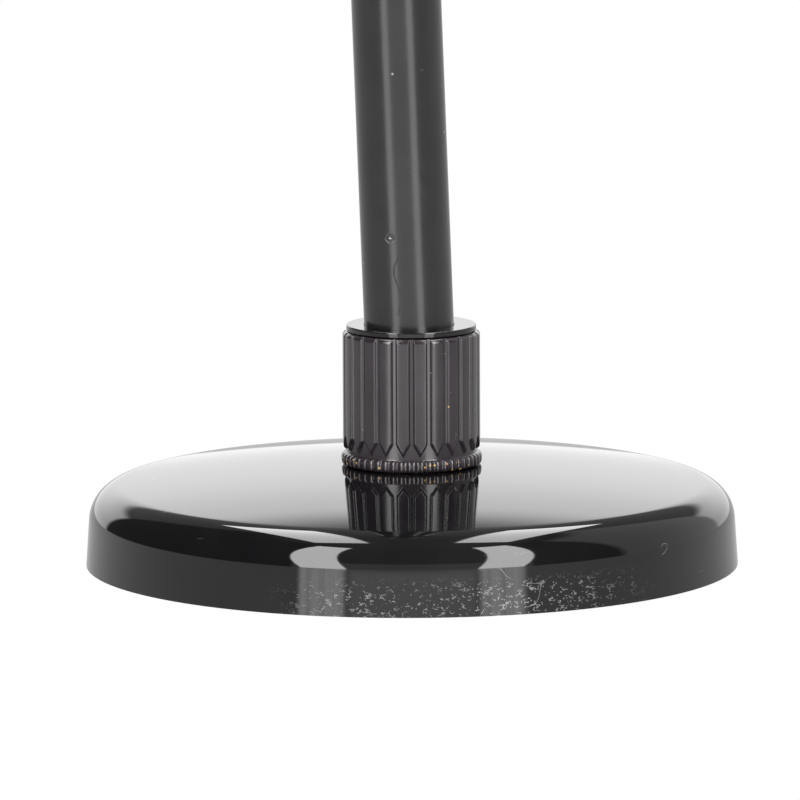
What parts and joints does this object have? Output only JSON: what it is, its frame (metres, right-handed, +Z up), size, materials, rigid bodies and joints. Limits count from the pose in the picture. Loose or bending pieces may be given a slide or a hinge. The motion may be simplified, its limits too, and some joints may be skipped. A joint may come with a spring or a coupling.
{
  "type": "music stand",
  "caption": "Table-top music stand: domed cast base, fluted collar, raked telescopic post with a twist clutch, and a tilting sheet-metal desk with shelf and page arms.",
  "frame": {"origin": "middle of the rubber pad's underside, on the surface that the stand rests on", "axes": "+Z up; +X towards the player, whom the desk faces; +Y across the desk, on the knob's side"},
  "size_m": [0.1693, 0.34, 0.4142],
  "materials": {
    "base_lacquer": "gloss black lacquer over cast iron",
    "pad_rubber": "matt black rubber",
    "zinc_steel": "bright zinc plate",
    "black_nickel": "polished black nickel plate",
    "black_nylon": "moulded black nylon",
    "natural_nylon": "moulded natural nylon",
    "ring_gloss": "gloss black plastic",
    "tube_graphite": "satin graphite lacquer on steel tube",
    "grip_plastic": "fine-grained black plastic",
    "tube_chrome": "bright chrome plate",
    "head_black": "satin black on zinc die casting",
    "fibre": "vulcanised fibre",
    "desk_powder": "fine-textured black powder coat on sheet steel",
    "knob_plastic": "moulded black plastic",
    "insert_brass": "machined brass",
    "trim_rubber": "ribbed black rubber",
    "arm_nickel": "satin nickel plate",
    "tip_rubber": "soft black rubber"
  },
  "bodies": {
    "base": {"base_casting": "base_lacquer", "base_pad": "pad_rubber", "base_bolt": "zinc_steel", "base_washer": "zinc_steel", "base_spring_washer": "zinc_steel", "post_socket": "zinc_steel", "socket_dowel": "zinc_steel", "clamp_collet": "black_nylon", "wiper_ring": "ring_gloss"},
    "collar": {"fluted_collar": "black_nickel"},
    "post": {"lower_tube": "tube_graphite", "tube_foot_plug": "natural_nylon", "clutch_housing": "head_black"},
    "grip": {"clutch_grip": "grip_plastic"},
    "jaws": {"clutch_collet": "black_nylon"},
    "mast": {"upper_tube": "tube_chrome", "guide_bush": "natural_nylon", "guide_pin": "zinc_steel", "head_block": "head_black", "head_grub_screws": "zinc_steel", "friction_washers": "fibre"},
    "desk": {"tilt_bracket": "desk_powder", "tilt_bolt": "zinc_steel", "knob_washer": "zinc_steel", "desk_plate": "desk_powder", "bracket_rivets": "zinc_steel", "page_shelf": "desk_powder", "shelf_rivets": "zinc_steel", "shelf_trim": "trim_rubber", "arm_pivots": "zinc_steel", "left_arm_washer": "zinc_steel", "right_arm_washer": "zinc_steel"},
    "knob": {"tilt_knob": "knob_plastic", "knob_insert": "insert_brass"},
    "left_arm": {"left_page_arm": "arm_nickel", "left_arm_tip": "tip_rubber"},
    "right_arm": {"right_page_arm": "arm_nickel", "right_arm_tip": "tip_rubber"}
  },
  "joints": [
    {"name": "collar_turn", "type": "hinge", "parent": "base", "child": "collar", "pos_m": [0, 0, 0.04], "axis": [0, 0, 1], "range_deg": [0, 270]},
    {"name": "post_swivel", "type": "hinge", "parent": "base", "child": "post", "pos_m": [0, 0, 0.0443], "axis": [-0.0352, 0, 0.9994], "continuous": true},
    {"name": "grip_turn", "type": "hinge", "parent": "post", "child": "grip", "pos_m": [0, 0, 0.0443], "axis": [-0.0352, 0, 0.9994], "range_deg": [0, 120]},
    {"name": "mast_swivel", "type": "hinge", "parent": "post", "child": "jaws", "pos_m": [0, 0, 0.0443], "axis": [-0.0352, 0, 0.9994], "continuous": true},
    {"name": "height_slide", "type": "slide", "parent": "jaws", "child": "mast", "axis": [-0.0352, 0, 0.9994], "range_m": [-0.03, 0.08]},
    {"name": "desk_tilt", "type": "hinge", "parent": "mast", "child": "desk", "pos_m": [-0.00838, 0, 0.28181], "axis": [0, 1, 0], "range_deg": [-66, 22]},
    {"name": "knob_turn", "type": "hinge", "parent": "desk", "child": "knob", "pos_m": [-0.00838, 0, 0.28181], "axis": [0, 1, 0], "range_deg": [0, 180]},
    {"name": "left_arm_swing", "type": "hinge", "parent": "desk", "child": "left_arm", "pos_m": [0.08541, -0.095, 0.23055], "axis": [0.9134, 0, 0.4071], "range_deg": [-60, 60]},
    {"name": "right_arm_swing", "type": "hinge", "parent": "desk", "child": "right_arm", "pos_m": [0.08541, 0.095, 0.23055], "axis": [0.9134, 0, 0.4071], "range_deg": [-60, 60]}
  ]
}
